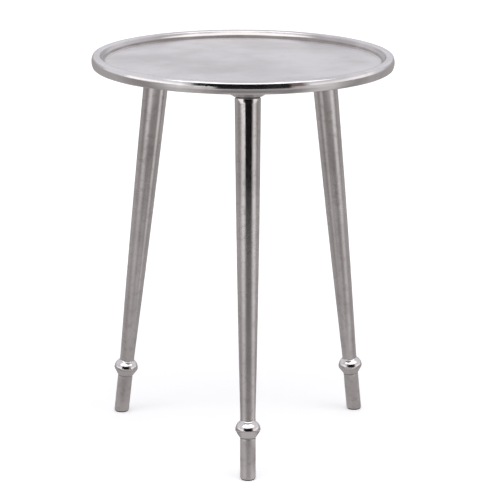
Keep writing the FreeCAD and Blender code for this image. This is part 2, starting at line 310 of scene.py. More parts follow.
def leg_place(place, along):
    """Matrix of a leg's own frame, a distance up the leg: +Z up the leg and +X outwards."""
    joint = joint_named(f"unscrew_turn_{place}")
    face = Vector(joint["pos_m"])
    up = -Vector(joint["axis"]).normalized()
    side = Vector((-face.y, face.x, 0)).normalized()
    out = side.cross(up)
    origin = face - up * (LEG_LENGTH + WASHER_THICKNESS - along)
    turn = Matrix((out, side, up)).transposed().to_4x4()
    return Matrix.Translation(origin) @ turn


# --- tray -------------------------------------------------------------------------------------

def tray_outline():
    """Outline of the tray's section, from the middle of its floor out and round to the flat
    underside."""
    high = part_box("tray_top")[1]
    crest, widest = high.z, high.x
    tray_floor = crest - RECESS_DEPTH
    lip = crest - RIM_HEIGHT
    underside = tray_floor - PLATE_THICKNESS
    centre = (widest - RIM_FACE_RADIUS, crest - RIM_WIDEST_DEPTH)
    top = math.degrees(math.asin(RIM_WIDEST_DEPTH / RIM_FACE_RADIUS))
    bottom = math.degrees(math.asin((lip - centre[1]) / RIM_FACE_RADIUS))
    face = arc(centre, RIM_FACE_RADIUS, top, bottom, steps=28)
    inner_foot, inner_top = (RECESS_RADIUS, tray_floor), (RIM_TOP_INNER_RADIUS, crest)
    points = [
        (0, tray_floor),
        *spread((FLOOR_FIRST_RING, tray_floor), inner_foot, steps=24),
        *spread(inner_foot, inner_top, steps=4)[1:],
        *face,
        (RIM_FOOT_RADIUS, lip),
        (RECESS_RADIUS, underside),
        (FLAT_UNDERSIDE_RADIUS, underside),
    ]
    points = round_corner(points, inner_foot, RECESS_COVE, steps=14)
    points = round_corner(points, inner_top, RIM_EDGE_ROUND)
    points = ease_corner(points, face[0], RIM_CREST_EASE, steps=14)
    points = ease_corner(points, face[-1], RIM_LOWER_EASE, steps=8)
    points = ease_corner(points, (RIM_FOOT_RADIUS, lip), RIM_FOOT_EASE, steps=4)
    return ease_corner(points, (RECESS_RADIUS, underside), UNDERSIDE_EASE, steps=5)


def boss_rows(mesh, place, underside):
    """One flared boss with its tapped hole. Its first row lies on the flat underside."""
    face = leg_place(place, LEG_LENGTH + WASHER_THICKNESS)
    centre, up = face.translation, face.col[2].xyz
    side = face.col[1].xyz
    out = Vector((side.y, -side.x, 0))
    base_level = underside + BOSS_SUNK
    base_centre = centre + up * ((base_level - centre.z) / up.z)

    def rulings(angle):
        inner = face @ Vector(
            (BOSS_FACE_RADIUS * math.cos(angle), BOSS_FACE_RADIUS * math.sin(angle), 0)
        )
        away = out * math.cos(angle) + side * math.sin(angle)
        outer = base_centre + away * BOSS_BASE_RADIUS
        corner = inner.lerp(outer, (underside - inner.z) / (outer.z - inner.z))
        return inner, corner, away

    def row(point_at):
        return [
            mesh.verts.new(point_at(2 * math.pi * i / SMALL_SEGMENTS))
            for i in range(SMALL_SEGMENTS)
        ]

    def bent(before, corner, after, t):
        return before.lerp(corner, t).lerp(corner.lerp(after, t), t)

    def cove(t):
        def point(angle):
            inner, corner, away = rulings(angle)
            slope = (inner - corner).normalized()
            reach = BOSS_COVE * math.tan(slope.angle(-away) / 2)
            return bent(corner + away * reach, corner, corner + slope * reach, t)
        return point

    def flank(t):
        def point(angle):
            inner, corner, away = rulings(angle)
            reach = BOSS_COVE * math.tan((inner - corner).angle(-away) / 2)
            start = corner + (inner - corner).normalized() * reach
            end = inner + (corner - inner).normalized() * BOSS_EDGE_EASE
            return start.lerp(end, t)
        return point

    def rounded_edge(t):
        def point(angle):
            inner, corner, _ = rulings(angle)
            before = inner + (corner - inner).normalized() * BOSS_EDGE_EASE
            after = inner + (centre - inner).normalized() * BOSS_EDGE_EASE
            return bent(before, inner, after, t)
        return point

    cove_steps, flank_steps, edge_steps = 6, 7, 5
    rows = [row(cove(i / cove_steps)) for i in range(cove_steps + 1)]
    rows += [row(flank(i / flank_steps)) for i in range(1, flank_steps)]
    rows += [row(rounded_edge(i / edge_steps)) for i in range(edge_steps + 1)]
    for low, high in zip(rows, rows[1:]):
        join_rows(mesh, low, high)

    def thread(depth):
        fade = smooth_share(depth, BORE_MOUTH, BORE_MOUTH + THREAD_PITCH)
        fade *= 1 - smooth_share(depth, BORE_DEPTH - 3 * THREAD_PITCH, BORE_DEPTH - THREAD_PITCH)
        return lambda angle: (
            BORE_RADIUS + BORE_THREAD_DEPTH * fade * thread_shape(depth, angle), depth
        )

    row_count = int((BORE_DEPTH - BORE_MOUTH) / (THREAD_PITCH / BORE_ROWS_A_TURN))
    bore = [(BORE_RADIUS + BORE_MOUTH, 0)]
    bore += [
        thread(BORE_MOUTH + i * THREAD_PITCH / BORE_ROWS_A_TURN) for i in range(row_count)
    ]
    bore += [(BORE_RADIUS, BORE_DEPTH), (0, BORE_DEPTH)]
    inside = turned_rows(mesh, bore, SMALL_SEGMENTS, lambda p: face @ Vector(p))
    join_rows(mesh, rows[-1], inside[0])
    return rows[0]


def thread_shape(height, angle):
    """1 at the crest of a right-hand thread and 0 at its root."""
    turn = (height / THREAD_PITCH - angle / (2 * math.pi)) % 1.0
    return min(1.0, max(0.0, THREAD_STEEPNESS * abs(turn - 0.5) - THREAD_ROOT_FLAT))


def fill_underside(mesh, rim_row, boss_first_rows):
    """The flat underside between the rim and the bosses."""
    loops = [rim_row, *boss_first_rows]
    level = rim_row[0].co.z
    known = [vertex for loop in loops for vertex in loop]
    edges, start = [], 0
    for loop in loops:
        edges += [(start + i, start + (i + 1) % len(loop)) for i in range(len(loop))]
        start += len(loop)
    centres = [sum((v.co for v in loop), Vector()) / len(loop) for loop in boss_first_rows]
    boss_reach = max((v.co - centres[0]).length for v in boss_first_rows[0])

    def in_flat(x, y, margin):
        if math.hypot(x, y) > FLAT_UNDERSIDE_RADIUS - margin:
            return False
        return all(math.hypot(x - c.x, y - c.y) > boss_reach + margin for c in centres)

    spacing = UNDERSIDE_SPACING
    triangle_height = 0.866
    same_point = 1e-9
    count = int(FLAT_UNDERSIDE_RADIUS / spacing) + 1
    inner = [
        (x, y)
        for i in range(-count, count + 1)
        for j in range(-count, count + 1)
        for x, y in [((i + 0.5 * (j % 2)) * spacing, j * spacing * triangle_height)]
        if in_flat(x, y, spacing * 0.5)
    ]
    known += [mesh.verts.new((x, y, level)) for x, y in inner]
    flat = [Vector((v.co.x, v.co.y)) for v in known]
    _, _, triangles, originals, _, _ = geometry.delaunay_2d_cdt(flat, edges, [], 0, same_point)
    holes = [[v.co.xy for v in loop] for loop in boss_first_rows]
    for triangle in triangles:
        corners = [known[originals[i][0]] for i in triangle]
        middle = sum((v.co.xy for v in corners), Vector((0, 0))) / 3
        if not any(inside_loop(middle, hole) for hole in holes):
            mesh.faces.new(corners)


def inside_loop(point, loop):
    """True if a point lies inside a convex loop."""
    signs = {
        (b - a).cross(point - a) > 0 for a, b in zip(loop, loop[1:] + loop[:1])
    }
    return len(signs) == 1


def make_tray(material):
    """The tray, rim and bosses as one closed mesh, unevenly polished except at the joints."""
    mesh = bmesh.new()
    rows = turned_rows(mesh, tray_outline(), RIM_SEGMENTS)
    underside = rows[-1][0].co.z
    bosses = [boss_rows(mesh, place, underside) for place in PLACES]
    fill_underside(mesh, rows[-1], bosses)
    data = finished_mesh("cast_tray", mesh)
    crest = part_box("tray_top")[1].z
    faces = [leg_place(place, LEG_LENGTH + WASHER_THICKNESS) for place in PLACES]

    def away_from_joints(co):
        share = 1.0
        for face in faces:
            local = face.inverted() @ co
            gap = max(math.hypot(local.x, local.y) - BOSS_FACE_RADIUS, local.z - BORE_DEPTH)
            share = min(share, smooth_share(gap, *SKIN_OFF_BOSS))
        return share

    def rim_only(co):
        reach = math.hypot(co.x, co.y)
        return smooth_share(reach, *RIM_SKIN_REACH) * smooth_share(crest - co.z, *RIM_SKIN_DROP)

    cast_skin(data, *TRAY_SKIN, away_from_joints)
    cast_skin(data, *RIM_SKIN, rim_only)
    put("cast_tray", data, Matrix.Identity(4), "tray", "tray_top", material)


# --- legs -------------------------------------------------------------------------------------

def shaft_bow():
    """The long swelling taper, from the neck up to the shoulder."""
    start = Vector((NECK_RADIUS, NECK_TOP))
    end = Vector((LEG_TOP_RADIUS, LEG_LENGTH - SHOULDER_CHAMFER))
    chord = end - start
    sag_centre = math.sqrt(SHAFT_BOW_RADIUS ** 2 - (chord.length / 2) ** 2)
    inwards = Vector((-chord.y, chord.x)).normalized()
    centre = (start + end) / 2 + inwards * sag_centre
    from_angle, to_angle = (
        math.degrees(math.atan2(p.y - centre.y, p.x - centre.x)) for p in (start, end)
    )
    return arc(centre, SHAFT_BOW_RADIUS, from_angle, to_angle, steps=60)


def leg_outline():
    """Outline from low on the foot up past the bead to the shoulder, and down into the hole for
    the stud."""
    cone = math.radians(BEAD_CONE_ANGLE)
    lower = (BEAD_RADIUS - BEAD_LOWER_ROUND, BEAD_WIDEST)
    upper = (BEAD_RADIUS - BEAD_UPPER_ROUND, BEAD_WIDEST)
    dome_end = math.degrees(math.acos((NECK_RADIUS - upper[0]) / BEAD_UPPER_ROUND))
    cone_top = (
        lower[0] + BEAD_LOWER_ROUND * math.cos(cone), lower[1] - BEAD_LOWER_ROUND * math.sin(cone)
    )
    lip = (FOOT_RADIUS + BEAD_LIP, BEAD_BOTTOM)
    groove = (FOOT_RADIUS - COLLAR_GROOVE, BEAD_BOTTOM - COLLAR_GROOVE)
    foot_top = (FOOT_RADIUS, BEAD_BOTTOM - 2 * COLLAR_GROOVE)
    shoulder_top = (LEG_TOP_RADIUS - SHOULDER_CHAMFER, LEG_LENGTH)
    hole_mouth, hole_end = (BORE_RADIUS, LEG_LENGTH), (BORE_RADIUS, LEG_LENGTH - STUD_IN_LEG)
    dome = arc(upper, BEAD_UPPER_ROUND, 0, dome_end, steps=22)
    shaft = shaft_bow()
    points = [
        *spread((FOOT_RADIUS, FOOT_JOIN), foot_top, steps=16),
        groove,
        lip,
        *spread(lip, cone_top, steps=5)[1:-1],
        *arc(lower, BEAD_LOWER_ROUND, -BEAD_CONE_ANGLE, 0, steps=8),
        *dome[1:],
        *spread((NECK_RADIUS, dome[-1][1]), (NECK_RADIUS, NECK_TOP), steps=4)[1:-1],
        *shaft,
        shoulder_top,
        *spread((SHOULDER_RING, LEG_LENGTH), hole_mouth, steps=3),
        *spread(hole_mouth, hole_end, steps=5)[1:],
        (0, LEG_LENGTH - STUD_IN_LEG),
    ]
    points = round_corner(points, dome[-1], NECK_COVE)
    for corner, reach in (
        (foot_top, FOOT_TOP_EASE), (groove, COLLAR_EASE), (lip, COLLAR_EASE),
        (shaft[-1], SHOULDER_EASE), (shoulder_top, SHOULDER_TOP_EASE),
    ):
        points = ease_corner(points, corner, reach, steps=3)
    return points


def foot_rows(lean, glide_top):
    """Rings from the middle of the foot's level-cut end round its edge and up the foot."""
    def level(radius, angle):
        return (glide_top - radius * math.cos(angle) * math.sin(lean)) / math.cos(lean)

    def flat_ring(radius):
        return lambda angle: (radius, level(radius, angle))

    def edge_ring(turn):
        radius = FOOT_RADIUS - FOOT_ROUND * (1 - math.sin(turn))
        rise = FOOT_ROUND * (1 - math.cos(turn))
        return lambda angle: (radius, level(radius, angle) + rise)

    def side_ring(share):
        def ring(angle):
            start = level(FOOT_RADIUS, angle) + FOOT_ROUND
            return FOOT_RADIUS, start + (FOOT_JOIN - start) * share
        return ring

    rows = [(0, level(0, 0))]
    rows += [flat_ring(FOOT_RADIUS * share) for share in (0.3, 0.6, 0.85)]
    edge_steps, side_steps = 6, 5
    rows += [edge_ring(math.pi / 2 * i / edge_steps) for i in range(edge_steps + 1)]
    return rows + [side_ring(i / side_steps) for i in range(1, side_steps)]


def make_leg(place, material):
    at_floor = leg_place(place, 0)
    lean = math.acos(at_floor.col[2].z)
    glide_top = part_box(f"glide_{place}")[1].z
    mesh = bmesh.new()
    turned_rows(mesh, foot_rows(lean, glide_top) + leg_outline(), LEG_SEGMENTS)
    data = finished_mesh(f"turned_leg_{place}", mesh)

    def outside_only(co):
        reach = math.hypot(co.x, co.y)
        clear = smooth_share(reach, *LEG_SKIN_REACH)
        clear *= 1 - smooth_share(
            co.z, LEG_LENGTH - LEG_SKIN_FULL_DROP, LEG_LENGTH - LEG_SKIN_START_DROP
        )
        return clear * smooth_share(co.z, *LEG_SKIN_RISE)

    shift = Vector((PLACES.index(place) * LEG_NOISE_STEP, LEG_NOISE_SIDE, 0))
    data.transform(Matrix.Translation(shift))
    cast_skin(data, *LEG_SKIN, lambda co: outside_only(co - shift))
    data.transform(Matrix.Translation(-shift))
    put(
        f"turned_leg_{place}", data, at_floor, f"leg_{place}", f"leg_{place}", material
    )


def make_stud(place, material):
    """Threaded rod that joins a leg to its boss, with a little over half of it in the leg."""
    def ring(height):
        end = min(height, STUD_LENGTH - height)
        limit = STUD_RADIUS - max(0.0, STUD_CHAMFER - end)
        return lambda angle: (
            min(limit, STUD_RADIUS - THREAD_DEPTH * (1 - thread_shape(height, angle))), height
        )

    steps = int(STUD_LENGTH / (THREAD_PITCH / STUD_ROWS_A_TURN))
    end_radius = STUD_RADIUS - STUD_CHAMFER - STUD_END_BORDER
    rings = [(0, 0), (end_radius, 0)]
    rings += [ring(STUD_LENGTH * i / steps) for i in range(steps + 1)]
    rings += [(end_radius, STUD_LENGTH), (0, STUD_LENGTH)]
    mesh = bmesh.new()
    turned_rows(mesh, rings, STUD_SEGMENTS)
    name = f"threaded_stud_{place}"
    data = finished_mesh(name, mesh)
    at = leg_place(place, LEG_LENGTH - STUD_IN_LEG)
    put(name, data, at, f"leg_{place}", f"stud_{place}", material)


def make_washer(place, material):
    """Flat washer between a leg's shoulder and its boss, with all four edges chamfered."""
    ease = WASHER_CHAMFER
    outline = [
        (WASHER_HOLE_RADIUS + ease, 0), (WASHER_RADIUS - ease, 0),
        (WASHER_RADIUS, ease), (WASHER_RADIUS, WASHER_THICKNESS - ease),
        (WASHER_RADIUS - ease, WASHER_THICKNESS), (WASHER_HOLE_RADIUS + ease, WASHER_THICKNESS),
        (WASHER_HOLE_RADIUS, WASHER_THICKNESS - ease), (WASHER_HOLE_RADIUS, ease),
    ]
    mesh = bmesh.new()
    rows = turned_rows(mesh, outline, SMALL_SEGMENTS)
    join_rows(mesh, rows[-1], rows[0])
    name = f"fibre_washer_{place}"
    data = finished_mesh(name, mesh)
    at = leg_place(place, LEG_LENGTH)
    put(name, data, at, f"washer_{place}", f"washer_{place}", material)


def make_glide(place, material):
    """Thin disc under a foot, with its floor edge worn round."""
    low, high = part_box(f"glide_{place}")
    middle = (low + high) / 2
    thick = high.z - low.z
    half_way = GLIDE_RADIUS * 0.5
    edge_rise, side_rise = GLIDE_CHAMFER * 0.7, GLIDE_CHAMFER * 1.5
    outline = [
        (0, 0), (half_way, 0), (GLIDE_RADIUS - GLIDE_CHAMFER, 0),
        (GLIDE_RADIUS - GLIDE_EDGE_IN, edge_rise), (GLIDE_RADIUS, side_rise),
        (GLIDE_RADIUS, thick - GLIDE_TOP_CHAMFER), (GLIDE_RADIUS - GLIDE_TOP_CHAMFER, thick),
        (half_way, thick), (0, thick),
    ]
    mesh = bmesh.new()
    turned_rows(mesh, outline, SMALL_SEGMENTS)
    name = f"foot_glide_{place}"
    data = finished_mesh(name, mesh)
    at = Matrix.Translation((middle.x, middle.y, low.z))
    put(name, data, at, f"leg_{place}", f"glide_{place}", material)


# --- shader nodes -----------------------------------------------------------------------------

class Nodes:
    """Short calls for making shader nodes. A value may be a number, a colour or a socket."""

    def __init__(self, tree):
        self.tree = tree
        tree.nodes.clear()

    def feed(self, socket, value):
        if isinstance(value, bpy.types.NodeSocket):
            self.tree.links.new(value, socket)
        else:
            socket.default_value = value

    def add(self, kind, inputs=None, **settings):
        node = self.tree.nodes.new(f"ShaderNode{kind}")
        for name, value in settings.items():
            setattr(node, name, value)
        for name, value in (inputs or {}).items():
            self.feed(node.inputs[name], value)
        return node

    def own_place(self):
        return self.add("Attribute", attribute_name=OWN_PLACE).outputs["Vector"]

    def math(self, operation, *values):
        node = self.add("Math", operation=operation)
        for number, value in enumerate(values):
            self.feed(node.inputs[number], value)
        return node.outputs[0]

    def times(self, *values):
        total = values[0]
        for value in values[1:]:
            total = self.math("MULTIPLY", total, value)
        return total

    def step(self, value, start, end, low=0.0, high=1.0):
        """Smooth change from low to high as value goes from start to end."""
        inputs = {
            "Value": value, "From Min": start, "From Max": end, "To Min": low, "To Max": high
        }
        return self.add("MapRange", inputs, interpolation_type="SMOOTHSTEP").outputs[0]

    def fall(self, value, start, end):
        """Smooth change from 1 to 0 as value goes from start to end."""
        return self.step(value, start, end, low=1.0, high=0.0)

    def mix(self, share, first, second):
        node = self.add("Mix", data_type="RGBA")
        self.feed(node.inputs[0], share)
        self.feed(node.inputs[6], first)
        self.feed(node.inputs[7], second)
        return node.outputs[2]

    def noise(self, place, scale, detail=2.0, rough=0.5):
        inputs = {"Vector": place, "Scale": scale, "Detail": detail, "Roughness": rough}
        return self.add("TexNoise", inputs).outputs[0]

    def stretched(self, place, by):
        node = self.add("VectorMath", {0: place, 1: by}, operation="MULTIPLY")
        return node.outputs[0]

    def bump(self, height, strength, distance, under=None):
        inputs = {"Height": height, "Strength": strength, "Distance": distance}
        if under is not None:
            inputs["Normal"] = under
        return self.add("Bump", inputs).outputs[0]


def rgb(red, green, blue):
    return (red, green, blue, 1.0)


def new_material(name):
    material = bpy.data.materials.new(name)
    material.use_nodes = True
    return material, Nodes(material.node_tree)


def output_surface(nodes, shader, kind="OutputMaterial"):
    out = nodes.add(kind)
    nodes.tree.links.new(shader.outputs[0], out.inputs["Surface"])


# --- materials --------------------------------------------------------------------------------

# Where one look gives way to the next. On the tray these are distances out from the middle and
# depths below the crest, and on a leg they are heights up the leg.
FLOOR_REACH = (0.177, 0.181)
FLOOR_DEPTH = (0.0105, 0.0095)
UNDERSIDE_DEPTH = (0.0128, 0.0135)
UNDERSIDE_REACH = (0.184, 0.188)
# where the painted shadow in the corner at the foot of the rim's inner wall begins and ends, then
# where the painted shade on that wall does
CORNER_SHADOW_FROM, CORNER_SHADOW_TO = (0.1815, 0.1835), (0.1848, 0.1868)
WALL_FROM, WALL_TO = (0.1795, 0.1830), (0.1875, 0.1890)
WALL_DEPTH = (0.0095, 0.0085)
BEAD_FROM, BEAD_TO = (0.0555, 0.0575), (0.0770, 0.0800)
GROOVE_FROM, GROOVE_TO = (0.0532, 0.0538), (0.0546, 0.0552)
SOFT_POLISH_ENDS = (0.26, 0.50)
GLIDE_SCUFF_ENDS = (0.0001, 0.0005)


def tray_metal():
    """Cast aluminium: a satin, blotchy floor, a bright polished rim, a painted shadow in the
    corner where the two meet, painted shade on the inner wall of the rim and a duller underside."""
    material, n = new_material("tray_cast_aluminium")
    place = n.own_place()
    level = n.add("SeparateXYZ", {"Vector": place}).outputs["Z"]
    flat = n.stretched(place, (1.0, 1.0, 0.0))
    reach = n.add("VectorMath", {0: flat}, operation="LENGTH").outputs["Value"]
    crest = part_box("tray_top")[1].z

    def at_depth(span):
        return n.step(level, crest - span[0], crest - span[1])

    on_floor = n.times(n.fall(reach, *FLOOR_REACH), at_depth(FLOOR_DEPTH))
    beneath = n.times(at_depth(UNDERSIDE_DEPTH), n.fall(reach, *UNDERSIDE_REACH))
    cloud = n.noise(place, scale=9.0, detail=3.0, rough=0.55)
    blotch = n.noise(place, scale=34.0, detail=4.0, rough=0.6)
    rubbed = n.noise(n.stretched(place, (1.0, 5.0, 1.0)), scale=16.0, detail=5.0, rough=0.65)
    grain = n.noise(place, scale=420.0, detail=3.0, rough=0.6)
    pits = n.noise(place, scale=900.0, detail=2.0, rough=0.5)
    streaks = n.noise(n.stretched(place, (1.0, 22.0, 1.0)), scale=55.0, detail=6.0, rough=0.75)
    scratches = n.step(streaks, 0.62, 0.70)

    bright, dull = rgb(0.88, 0.87, 0.88), rgb(0.72, 0.70, 0.71)
    stain, in_pit = rgb(0.62, 0.59, 0.58), rgb(0.42, 0.39, 0.37)
    # painted shade for the rim's inner wall, then a darker painted shadow for the corner at its
    # foot
    wall_shade_colour, corner_shadow_colour = rgb(0.50, 0.47, 0.46), rgb(0.24, 0.21, 0.20)
    colour = n.mix(n.step(cloud, 0.35, 0.68), bright, dull)
    colour = n.mix(n.times(n.step(blotch, 0.52, 0.75), 0.35), colour, stain)
    colour = n.mix(n.times(n.step(pits, 0.66, 0.74), 0.5), colour, in_pit)
    # painted shadow in the corner where the floor meets the rim's inner wall, patchy with the
    # blotches
    corner_shadow = n.times(
        n.step(reach, *CORNER_SHADOW_FROM), n.fall(reach, *CORNER_SHADOW_TO), at_depth(WALL_DEPTH),
        n.step(blotch, 0.25, 0.65, low=0.45, high=0.85),
    )
    # painted shade on the rim's inner wall, uneven with the clouds
    wall_shade = n.times(
        n.step(reach, *WALL_FROM), n.fall(reach, *WALL_TO), at_depth(WALL_DEPTH),
        n.step(cloud, 0.30, 0.62, low=0.35, high=0.95),
    )
    # lays the painted shade on the inner wall and the painted shadow in its corner over the
    # metal's colour
    colour = n.mix(wall_shade, colour, wall_shade_colour)
    colour = n.mix(corner_shadow, colour, corner_shadow_colour)

    floor_rough = n.step(rubbed, 0.25, 0.75, low=0.31, high=0.38)
    rim_rough = n.step(blotch, 0.3, 0.75, low=0.09, high=0.19)
    under_rough = n.step(blotch, 0.25, 0.75, low=0.30, high=0.48)
    rough = n.add("Mix", {0: on_floor, 2: rim_rough, 3: floor_rough}).outputs[0]
    rough = n.add("Mix", {0: beneath, 2: rough, 3: under_rough}).outputs[0]
    rough = n.math("ADD", rough, n.times(scratches, on_floor, -0.03))

    height = n.math("ADD", n.times(rubbed, on_floor, 0.08), n.times(grain, 0.12))
    height = n.math("ADD", height, n.times(pits, n.math("ADD", n.times(beneath, 0.5), 0.06)))
    normal = n.bump(height, strength=0.35, distance=0.0004)
    normal = n.bump(blotch, strength=0.12, distance=0.0012, under=normal)
    shader = n.add(
        "BsdfPrincipled",
        {"Base Color": colour, "Metallic": 1.0, "Roughness": rough, "Normal": normal},
    )
    output_surface(n, shader)
    return material


def leg_metal():
    """Turned and polished aluminium: fine rings round the leg, faint pits and rub marks, a
    softer polish on the lower half and a darker colour in the groove under the bead."""
    material, n = new_material("leg_turned_aluminium")
    place = n.own_place()
    up = n.add("SeparateXYZ", {"Vector": place}).outputs["Z"]
    on_bead = n.times(n.step(up, *BEAD_FROM), n.fall(up, *BEAD_TO))
    rings = n.noise(n.stretched(place, (3.0, 3.0, 60.0)), scale=9.0, detail=4.0, rough=0.6)
    fine_rings = n.noise(n.stretched(place, (4.0, 4.0, 260.0)), scale=9.0, detail=3.0, rough=0.6)
    mottle = n.noise(place, scale=120.0, detail=4.0, rough=0.65)
    pits = n.noise(place, scale=620.0, detail=3.0, rough=0.6)
    cloud = n.noise(place, scale=22.0, detail=3.0, rough=0.5)

    bright, dull = rgb(0.81, 0.79, 0.79), rgb(0.70, 0.68, 0.68)
    # the last of these is the darker colour for the groove under the bead
    rub_mark, in_pit, groove_dark = rgb(0.53, 0.50, 0.495), rgb(0.36, 0.32, 0.30), rgb(0.16, 0.14, 0.13)
    colour = n.mix(n.step(cloud, 0.35, 0.7), bright, dull)
    colour = n.mix(n.times(n.step(mottle, 0.48, 0.70), 0.5), colour, rub_mark)
    colour = n.mix(n.times(n.step(pits, 0.64, 0.74), 0.6), colour, in_pit)
    # darker in the groove under the bead
    in_groove = n.times(n.step(up, *GROOVE_FROM), n.fall(up, *GROOVE_TO))
    colour = n.mix(n.times(in_groove, 0.8), colour, groove_dark)
    shaft_rough = n.math(
        "ADD", n.step(mottle, 0.25, 0.8, low=0.07, high=0.14),
        n.step(up, *SOFT_POLISH_ENDS, low=0.20, high=0.0),
    )
    bead_rough = 0.12
    rough = n.add("Mix", {0: on_bead, 2: shaft_rough, 3: bead_rough}).outputs[0]

    shaft_share = n.step(on_bead, 0.0, 1.0, low=1.0, high=0.15)
    height = n.math("ADD", n.times(rings, 0.6), n.times(fine_rings, 0.4))
    height = n.math("ADD", height, n.times(pits, 0.25))
    normal = n.bump(n.times(height, shaft_share), strength=0.14, distance=0.0003)
    normal = n.bump(
        n.times(mottle, shaft_share), strength=0.08, distance=0.0008, under=normal
    )
    tangent = n.add("Tangent", direction_type="UV_MAP", uv_map=TURNED_MAP).outputs[0]
    shader = n.add(
        "BsdfPrincipled",
        {
            "Base Color": colour, "Metallic": 1.0, "Roughness": rough, "Normal": normal,
            "Anisotropic": 0.2, "Anisotropic Rotation": 0.25, "Tangent": tangent,
        },
    )
    output_surface(n, shader)
    return material


def stud_metal():
    """Zinc-plated steel, a little yellow, with greyer patches and uneven wear."""
    material, n = new_material("stud_zinc_plate")
    place = n.own_place()
    patch = n.noise(place, scale=260.0, detail=3.0, rough=0.6)
    worn = n.noise(place, scale=1500.0, detail=2.0, rough=0.5)
    yellow_zinc, grey_zinc = rgb(0.66, 0.63, 0.56), rgb(0.50, 0.48, 0.44)
    colour = n.mix(n.step(patch, 0.35, 0.7), yellow_zinc, grey_zinc)
    rough = n.step(worn, 0.3, 0.75, low=0.24, high=0.42)
    normal = n.bump(worn, strength=0.2, distance=0.0001)
    shader = n.add(
        "BsdfPrincipled",
        {"Base Color": colour, "Metallic": 1.0, "Roughness": rough, "Normal": normal},
    )
    output_surface(n, shader)
    return material


def fibre():
    """Black pressed fibre with pale flecks."""
    material, n = new_material("washer_black_fibre")
    place = n.own_place()
    strands = n.noise(n.stretched(place, (1.0, 3.0, 9.0)), scale=700.0, detail=4.0, rough=0.7)
    black, fleck = rgb(0.028, 0.027, 0.026), rgb(0.085, 0.08, 0.075)
    colour = n.mix(n.step(strands, 0.45, 0.75), black, fleck)
    rough = n.step(strands, 0.3, 0.7, low=0.7, high=0.9)
    normal = n.bump(strands, strength=0.3, distance=0.0001)
    shader = n.add(
        "BsdfPrincipled", {"Base Color": colour, "Roughness": rough, "Normal": normal}
    )
    output_surface(n, shader)
    return material


def glide_plastic():
    """Black moulded plastic, scuffed grey where it has slid on floors."""
    material, n = new_material("glide_black_plastic")
    place = n.own_place()
    up = n.add("SeparateXYZ", {"Vector": place}).outputs["Z"]
    streaks = n.noise(n.stretched(place, (1.0, 7.0, 1.0)), scale=400.0, detail=5.0, rough=0.7)
    scuff = n.times(
        n.step(streaks, 0.48, 0.66), n.step(up, *GLIDE_SCUFF_ENDS, low=1.0, high=0.15)
    )
    grain = n.noise(place, scale=1800.0, detail=2.0, rough=0.5)
    black, scuffed = rgb(0.045, 0.045, 0.047), rgb(0.17, 0.165, 0.16)
    colour = n.mix(scuff, black, scuffed)
    rough = n.step(grain, 0.3, 0.7, low=0.42, high=0.6)
    normal = n.bump(grain, strength=0.2, distance=0.0001)
    shader = n.add(
        "BsdfPrincipled", {"Base Color": colour, "Roughness": rough, "Normal": normal}
    )
    output_surface(n, shader)
    return material


# --- studio -----------------------------------------------------------------------------------

# Each card of the studio: its name, from and to round the horizon, from and to above it, how
# soft its edges are, and its brightness in red, green and blue. Round the horizon, 0 is towards
# the viewer in front of the table and 90 is to the right.
STUDIO_CARDS = (
    ("low back wall", (130, 230), (-5, 9), 10, (0.52, 0.51, 0.53)),
    ("low back wall, left", (-230, -130), (-5, 9), 10, (0.52, 0.51, 0.53)),
    ("left softbox", (-100, -26), (-8, 13), 7, (1.15, 1.12, 1.12)),
    ("right softbox", (44, 112), (-8, 13), 7, (1.05, 1.01, 1.0)),
    ("front softbox", (-74, 84), (38, 76), 7, (2.0, 2.0, 2.02)),
    ("warm flag", (28, 47), (-5, 33), 5, (0.20, 0.15, 0.14)),
    ("dark flag", (-25, 34), (-5, 4), 3, (0.006, 0.005, 0.006)),
    ("upper dark flag", (-42, 34), (3, 32), 3, (0.006, 0.005, 0.006)),
)
WALL = (0.74, 0.73, 0.76)

# Bright pools of light on the studio's floor: the middle of each round the horizon, its half
# width and how much it adds.
FLOOR_POOLS = ((-50, 34, 0.25), (63, 30, 0.42))
NEAR_FLOOR = (0.25, 0.23, 0.225)
FAR_FLOOR = (0.008, 0.007, 0.008)

# More light on that floor: how much is added behind the table, before its front foot and
# further out at the front, and the degrees round the horizon or metres out over which each
# begins or ends.
BEHIND_ADDED, BEHIND_FROM = 0.14, (75, 115)
BEFORE_ADDED, BEFORE_ENDS, BEFORE_ACROSS, BEFORE_SOFT = 0.26, (0.45, 0.75), (-20, 24), 14
FURTHER_ADDED, FURTHER_FROM, FURTHER_SIDES = 0.22, (1.1, 1.7), (40, 75)

# The dark end of the floor in front
DARK_FROM, DARK_ACROSS, DARK_SOFT = (2.0, 2.7), (-24, 33), 5

FLOOR_WHITE = 0.9
FLOOR_GLOW = 0.25
FLOOR_HALF = 30.0
FLOOR_DROP = 0.2 * MM


def within(n, value, span, soft):
    """1 inside a span and 0 outside it, with soft ends."""
    low, high = span
    half = soft / 2
    return n.times(
        n.step(value, low - half, low + half), n.fall(value, high - half, high + half)
    )


def round_horizon(n, x, y):
    """Degrees round the horizon, from the viewer towards the right."""
    return n.times(n.math("ARCTAN2", x, n.times(y, -1.0)), 180 / math.pi)


